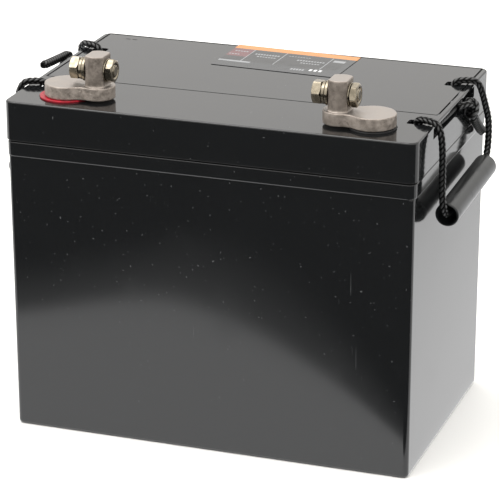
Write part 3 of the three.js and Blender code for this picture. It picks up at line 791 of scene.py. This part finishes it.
def braided_rope(name, points, girth=None, spacing=0.3, around=48):
    """Eight-strand plait along the points: four columns of slanting stitches, each column leaning
    against its neighbours so that they meet in Vs. girth scales the radius along the rope."""
    line = smooth_line(points, spacing)
    run = np.concatenate([[0], np.cumsum(np.linalg.norm(np.diff(line, axis=0), axis=1))])
    turn = np.linspace(0, 2 * math.pi, around, endpoint=False)
    columns, stitch, relief = 4, 3.3, 0.85
    place = columns * turn[None, :] / (2 * math.pi) + 0.5
    column, across = np.floor(place), place % 1
    lean = np.where(column % 2 == 0, 1.0, -1.0)
    phase = (run[:, None] / stitch + lean * 0.95 * (across - 0.5) + 0.5 * (column % 2)) % 1
    crown = np.sqrt(np.clip(1 - (2 * phase - 1) ** 2, 0, 1)) * (0.55 + 0.45 * np.sin(math.pi * across))
    radius = ROPE_DIAMETER / 2 - relief * (1 - crown)
    if girth is not None:
        radius = radius * np.interp(run / run[-1], [g[0] for g in girth], [g[1] for g in girth])[:, None]
    u, v = side_vectors(line)
    rings = line[:, None, :] + radius[:, :, None] * (
        np.cos(turn)[None, :, None] * u[:, None, :] + np.sin(turn)[None, :, None] * v[:, None, :]
    )
    piece = mesh_object(name, *skin(rings.tolist()))
    for label, values in (("phase", phase), ("crown", crown)):
        store = piece.data.attributes.new(label, "FLOAT", "POINT")
        store.data.foreach_set("value", values.astype(np.float32).ravel())
    return piece, line


def mirrored(points, side):
    return [(side * x, y, z) for x, y, z in points]


# One rope leg, grip and leg: out of the front hole, over the lid's edge, down, through the grip, up
# and into the back hole.
HANDLE_ROUTE = [
    (118.4, -40.3, 208.8), (118.0, -41.5, 211.6), (119.2, -42.4, 214.2), (122.2, -43.5, 215.4),
    (126.8, -45.1, 215.5), (130.6, -46.3, 214.9), (133.4, -47.2, 212.2), (135.3, -47.8, 207.0),
    (136.3, -48.4, 198.0), (136.6, -48.8, 188.0), (136.7, -48.8, 177.0), (137.0, -48.6, 169.5),
    (137.5, -47.2, 163.4), (138.0, -43.6, 158.8), (138.3, -38.0, 157.8), (138.5, -30.0, 158.1),
    (138.5, 0.0, 159.6), (138.5, 33.0, 161.0), (138.3, 42.0, 161.8), (138.1, 47.2, 163.8),
    (137.9, 52.0, 167.2), (137.6, 55.6, 172.6), (137.4, 57.2, 180.0), (137.0, 56.6, 189.0),
    (135.7, 53.4, 198.5), (134.5, 50.0, 206.5), (133.0, 47.4, 212.4), (130.4, 45.4, 215.1),
    (126.8, 44.2, 215.6), (122.2, 43.0, 215.4), (119.2, 42.2, 214.2), (118.0, 41.5, 211.6),
    (118.4, 40.3, 208.8),
]
SLOT_ROUTE = [
    (118.6, -39.8, 208.2), (120.6, -36.8, 207.4), (123.6, -31.5, 207.4), (125.6, -25.0, 207.4),
    (126.4, -10.0, 207.4), (126.4, 10.0, 207.4), (125.6, 25.0, 207.4), (123.6, 31.5, 207.4),
    (120.6, 36.8, 207.4), (118.6, 39.8, 208.2),
]
# Half hitch outside the slot: the strand leaves the slot, turns once round itself and ends in a tail.
HITCH = [
    (128.6, 13.0, 207.6), (131.4, 15.6, 208.2), (133.8, 18.6, 208.0), (135.0, 22.0, 206.0),
    (135.2, 25.5, 202.6),
]
RIGHT_TAIL = [
    (134.4, 30.5, 197.8), (133.7, 37.0, 192.8), (133.4, 44.5, 187.6), (133.4, 52.0, 182.6),
    (133.4, 56.5, 179.6),
]
LEFT_TAIL = [
    (134.8, 29.0, 207.4), (136.0, 35.0, 208.4), (137.2, 34.0, 210.4), (137.0, 25.0, 211.2),
    (136.8, 13.0, 212.1), (136.8, 2.0, 213.0), (136.9, -6.0, 213.8),
]


def hitch_route(tail):
    """The strand into the hitch, one turn about its own line, then the tail."""
    centre, axis = Vector((134.9, 24.0, 203.9)), Vector((0.0, 0.62, -0.78))
    out = Vector((1.0, 0.0, 0.0))
    over = axis.cross(out)
    wraps = []
    for i in range(9):
        turn = math.radians(200 - 45 * i)
        lift = 4.2 - 1.05 * i
        wraps.append(centre + axis * lift + (out * math.cos(turn) * 0.62 + over * math.sin(turn)) * 3.9)
    return HITCH + [tuple(p) for p in wraps] + tail


def make_ropes(side, end, cord_finish):
    """The three stretches of one end's rope: the handle, the run in the slot, and the hitch."""
    piece, line = braided_rope(f"{end}_handle_rope", mirrored(HANDLE_ROUTE, side))
    finish_piece(piece, cord_finish, None, [f"{end}_rope_loop"], 70)
    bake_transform(piece)
    piece, line = braided_rope(f"{end}_slot_rope", mirrored(SLOT_ROUTE, side))
    finish_piece(piece, cord_finish, "case", [f"{end}_rope_fixed_run"], 70)
    route = hitch_route(RIGHT_TAIL if side > 0 else LEFT_TAIL)
    loosened = 1.5 if side > 0 else 1.3
    girth = [(0, 1), (0.5, 1.05), (0.8, loosened - 0.05), (0.97, loosened), (1, 1.0)]
    piece, line = braided_rope(f"{end}_hitch_and_tail", mirrored(route, side), girth)
    finish_piece(piece, cord_finish, "case", [f"{end}_rope_knot"], 70)


def make_grip(side, end, tube_plastic):
    """Length of tube cut square, its edges lightly broken, that turns freely on the rope."""
    half, bore, outer = GRIP_LENGTH / 2, 5.8, 7.25
    profile = [(bore + 0.3, -half), (outer - 0.8, -half), (outer - 0.25, -half + 0.2), (outer, -half + 0.75)]
    profile += [(outer, -half + 0.75 + (GRIP_LENGTH - 1.5) * i / 12) for i in range(1, 12)]
    profile += [(r, -h) for r, h in reversed(profile[:4])] + [(bore, half - 0.4), (bore, -half + 0.4)]
    rings = []
    for i in range(64):
        turn = 2 * math.pi * i / 64
        rings.append([(r * math.cos(turn), h, r * math.sin(turn)) for r, h in profile])
    piece = solid(f"{end}_grip_tube", rings, closed=True)
    x, y, z = GRIP_CENTRE
    piece.data.transform(Matrix.Translation((side * x, y, z)) @ Matrix.Rotation(GRIP_TILT, 4, "X"))
    nodes = [f"{end}_handle_grip"]
    return finish_piece(piece, tube_plastic, f"{end}_handle", nodes, 50, True)


# ---- camera, light and floor ----
def make_camera():
    """A long lens to the right of the front, looking down on the lid."""
    turn, rise, roll = math.radians(19.373), math.radians(20.143), math.radians(-0.051)
    back = Vector((math.sin(turn) * math.cos(rise), -math.cos(turn) * math.cos(rise), math.sin(rise)))
    right = Vector((math.cos(turn), math.sin(turn), 0))
    up = back.cross(right)
    right, up = right * math.cos(roll) + up * math.sin(roll), up * math.cos(roll) - right * math.sin(roll)
    data = bpy.data.cameras.new("camera")
    data.sensor_width = 36.0
    data.lens = 189.34
    data.clip_start, data.clip_end = 0.05, 60.0
    camera = bpy.data.objects.new("camera", data)
    stand = Matrix.Translation((0.5166, -1.47078, 0.67588))
    camera.matrix_world = stand @ Matrix((right, up, back)).transposed().to_4x4()
    scene.collection.objects.link(camera)
    scene.camera = camera


def make_sky():
    """A white studio: brighter overhead than at the horizon, and plain white behind the object."""
    world = bpy.data.worlds.new("white_studio")
    world.use_nodes = True
    scene.world = world
    tree = world.node_tree
    tree.nodes.clear()
    place = add_node(tree, "ShaderNodeTexCoord").outputs["Generated"]
    height = add_node(tree, "ShaderNodeSeparateXYZ", {}, {0: place}).outputs["Z"]
    bright = ramp(tree, height, -0.1, 1.0, 0.96, 1.95)
    light = add_node(tree, "ShaderNodeBackground", {}, {"Color": linear("#fffdfa"), "Strength": bright})
    seen = add_node(tree, "ShaderNodeBackground", {}, {"Color": linear("#ffffff"), "Strength": 1.2})
    camera_ray = add_node(tree, "ShaderNodeLightPath").outputs["Is Camera Ray"]
    both = add_node(tree, "ShaderNodeMixShader", {}, {0: camera_ray, 1: light.outputs[0], 2: seen.outputs[0]})
    add_node(tree, "ShaderNodeOutputWorld", {}, {"Surface": both.outputs[0]})


def make_floor():
    """White painted board under everything."""
    material, tree = new_material("white_painted_board")
    shade = blend_colours(tree, pattern(tree, 300, 2.0), "#f2f2f0", "#f6f6f5")
    close_material(tree, {"Base Color": shade, "Roughness": 0.9, "Specular IOR Level": 0.2})
    corners = [(-12, -12, 0), (12, -12, 0), (12, 12, 0), (-12, 12, 0)]
    floor = mesh_object("studio_floor", corners, [(0, 1, 2, 3)])
    floor.data.materials.append(material)


def reflected_card(name, points, faces, material):
    """A card that only the gloss sees, just above the floor."""
    card = mesh_object(name, points, faces)
    card.data.materials.append(material)
    card.visible_camera = False
    card.visible_diffuse = False
    card.visible_transmission = False
    card.visible_shadow = False
    return card


def make_bounce_card():
    """Evenly lit white card under the object, a little dimmer off its right end."""
    material, tree = new_material("lit_white_card")
    place = add_node(tree, "ShaderNodeTexCoord").outputs["Object"]
    x = add_node(tree, "ShaderNodeSeparateXYZ", {}, {0: place}).outputs["X"]
    beside = ramp(tree, x, 0.13, 0.32, 1.52, 1.2)
    right = ramp(tree, x, 0.12, 0.135)
    strength = add_node(tree, "ShaderNodeMix", {}, {"Factor": right, "A": 1.85, "B": beside})
    glow = add_node(
        tree, "ShaderNodeEmission", {}, {"Color": linear("#ffffff"), "Strength": strength.outputs["Result"]}
    )
    add_node(tree, "ShaderNodeOutputMaterial", {}, {"Surface": glow.outputs[0]})
    corners = [(-4, -4, 0.001), (4, -4, 0.001), (4, 4, 0.001), (-4, 4, 0.001)]
    reflected_card("bounce_card", corners, [(0, 1, 2, 3)], material)


def flag_edge():
    """Edge of the dark card nearest the case, in metres: level at the left, bowed away from the case, then
    running in towards its right end."""
    left, bowed, right, beyond = -0.24, -0.31, -0.108, -0.095
    bow_start, bow_deepest, case_end = -0.235, -0.115, 0.13
    edge = [(-1.6, left)]
    for x in np.linspace(bow_start, case_end, 24).tolist():
        if x < bow_deepest:
            share = (x - bow_start) / (bow_deepest - bow_start)
            y = left + (bowed - left) * share * share * (3 - 2 * share)
        else:
            y = bowed + (right - bowed) * ((x - bow_deepest) / (case_end - bow_deepest)) ** 1.5
        edge.append((x, y))
    return edge + [(0.3, beyond), (1.6, beyond)]


def make_flag():
    """Dark card laid in front with a soft edge: it shapes the reflection on the front wall."""
    edge = flag_edge()
    reach = [-(y + LID_HALF_Y * MM) for x, y in edge]
    rows = [
        [(x + d * 0.08, y + d * 0.34, 0.002) for (x, y), d in zip(edge, reach)],
        [(x, y, 0.002) for x, y in edge],
        [(x - d * 0.1, y - d * 0.75, 0.002) for (x, y), d in zip(edge, reach)],
        [(x * 1.5, -3.0, 0.002) for x, y in edge],
    ]
    count = len(edge)
    faces = [
        (r * count + i, r * count + i + 1, (r + 1) * count + i + 1, (r + 1) * count + i)
        for r in range(3)
        for i in range(count - 1)
    ]
    material, tree = new_material("black_flocked_card")
    cover = add_node(tree, "ShaderNodeAttribute", {"attribute_name": "cover"}).outputs["Fac"]
    steep, slow = ramp(tree, cover, 0.26, 0.5, 0.0, 0.56), ramp(tree, cover, 0.0, 1.0, 0.0, 0.44)
    hidden = combine(tree, steep, slow, "ADD")
    clear = add_node(tree, "ShaderNodeBsdfTransparent")
    black = add_node(tree, "ShaderNodeEmission", {}, {"Color": linear("#2b2d2e"), "Strength": 1.0})
    both = add_node(tree, "ShaderNodeMixShader", {}, {0: hidden, 1: clear.outputs[0], 2: black.outputs[0]})
    add_node(tree, "ShaderNodeOutputMaterial", {}, {"Surface": both.outputs[0]})
    card = reflected_card("dark_flag", [p for row in rows for p in row], faces, material)
    store = card.data.attributes.new("cover", "FLOAT", "POINT")
    store.data.foreach_set("value", [0.0] * count + [0.4] * count + [1.0] * (2 * count))


def make_lamp(name, place, aim, size, power):
    data = bpy.data.lights.new(name, "AREA")
    data.shape = "SQUARE"
    data.size = size
    data.energy = power
    lamp = bpy.data.objects.new(name, data)
    lamp.location = place
    lamp.rotation_euler = (Vector(aim) - Vector(place)).to_track_quat("-Z", "Y").to_euler()
    scene.collection.objects.link(lamp)


# ---- everything in its place ----
make_camera()
cord_finish = braided_polypropylene()
for side, end in ((1, "right"), (-1, "left")):
    make_ropes(side, end, cord_finish)

abs_plastic = gloss_moulded_abs()
lead = cast_lead_alloy()
steel = zinc_plated_steel()
tube_plastic = extruded_tube_plastic()
red_ring = moulded_rubber("red_silicone_ring", "#8e0d1f", "#b4172c", 0.45)
black_ring = moulded_rubber("black_rubber_ring", "#0d0d0e", "#17181a", 0.6)
inks = [
    printed_film("grey_film", "#26282a", "#303234"),
    printed_film("dark_printed_film", "#131415", "#1b1c1d"),
    printed_film("pale_printed_film", "#85878a", "#6b6d70"),
    printed_film("orange_printed_film", "#bd7a2c", "#b8692a"),
    printed_film("red_printed_film", "#5c2a2c", "#4a2426"),
    printed_film("white_printed_film", "#d2d3d4", "#b4b6b8"),
]

make_container(abs_plastic)
make_lid(abs_plastic)
make_cover_plate(abs_plastic)
make_label(inks)
rings = ring_tree()
for pole, side, corners, seal in (
    ("positive", -1, (15.0, 24.0), red_ring),
    ("negative", 1, (4.0, 48.0), black_ring),
):
    make_terminal(pole, side, lead)
    make_hardware(rings, pole, side, corners, steel, seal)
for side, end in ((1, "right"), (-1, "left")):
    make_grip(side, end, tube_plastic)

plain_finishes = {
    "valve_cap": moulded_rubber("valve_rubber", "#141415", "#1f2021", 0.75),
    "positive_plate": pasted_plate("brown_pasted_plate", "#3c2419", "#4d3124"),
    "negative_plate": pasted_plate("grey_pasted_plate", "#55585b", "#696c6f"),
    "separator": absorbent_glass_mat(),
    "intercell": lead,
    "positive_pillar": lead,
    "negative_pillar": lead,
    "positive_seal": red_ring,
    "negative_seal": black_ring,
    "right_rope": cord_finish,
    "left_rope": cord_finish,
    "right_handle_grip": tube_plastic,
    "left_handle_grip": tube_plastic,
    "case_container": abs_plastic,
    "lid": abs_plastic,
    "vent_cover_plate": abs_plastic,
    "top_label": inks[0],
    "positive_terminal": lead,
    "negative_terminal": lead,
}
for name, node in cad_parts.items():
    match = [finish for start, finish in plain_finishes.items() if name.startswith(start)]
    node.data.materials.clear()
    node.data.materials.append(match[0] if match else steel)

make_sky()
make_floor()
make_bounce_card()
make_flag()
make_lamp("soft_overhead", (-0.5, -0.35, 1.5), (0, 0, 0.1), 0.9, 9.0)
scene.view_settings.view_transform = "Standard"
